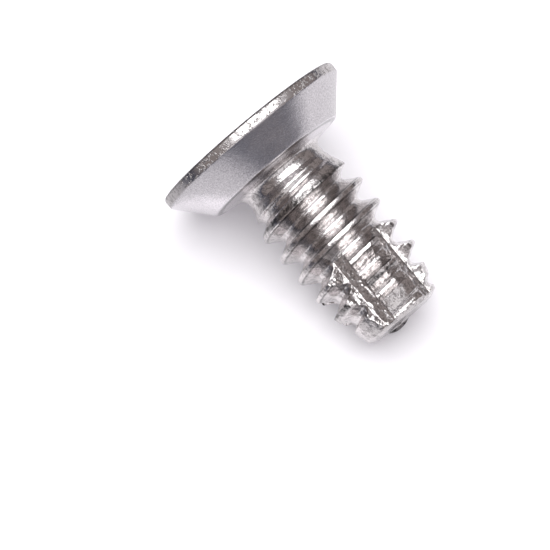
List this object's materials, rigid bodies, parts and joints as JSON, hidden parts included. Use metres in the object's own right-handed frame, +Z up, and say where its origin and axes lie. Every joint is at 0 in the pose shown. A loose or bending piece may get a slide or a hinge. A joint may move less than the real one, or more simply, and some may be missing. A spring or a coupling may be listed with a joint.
{
  "type": "flat head screw",
  "caption": "Thread-cutting machine screw with an undercut countersunk head, cross recess, right-hand thread and fluted point.",
  "frame": {"origin": "centre of the bounding box at the floor that the screw lies on", "axes": "+X along the screw as it lies, from the head towards the point, +Z up; the screw's own axis dips below +X towards the point because it rests on the rim of its head and the end of its thread"},
  "size_m": [0.008, 0.0062, 0.0061],
  "materials": {
    "zinc_plated_steel": "bright zinc plating, glossy on the thread and satin on the seat of the head"
  },
  "bodies": {
    "root": {"screw": "zinc_plated_steel"}
  },
  "joints": []
}
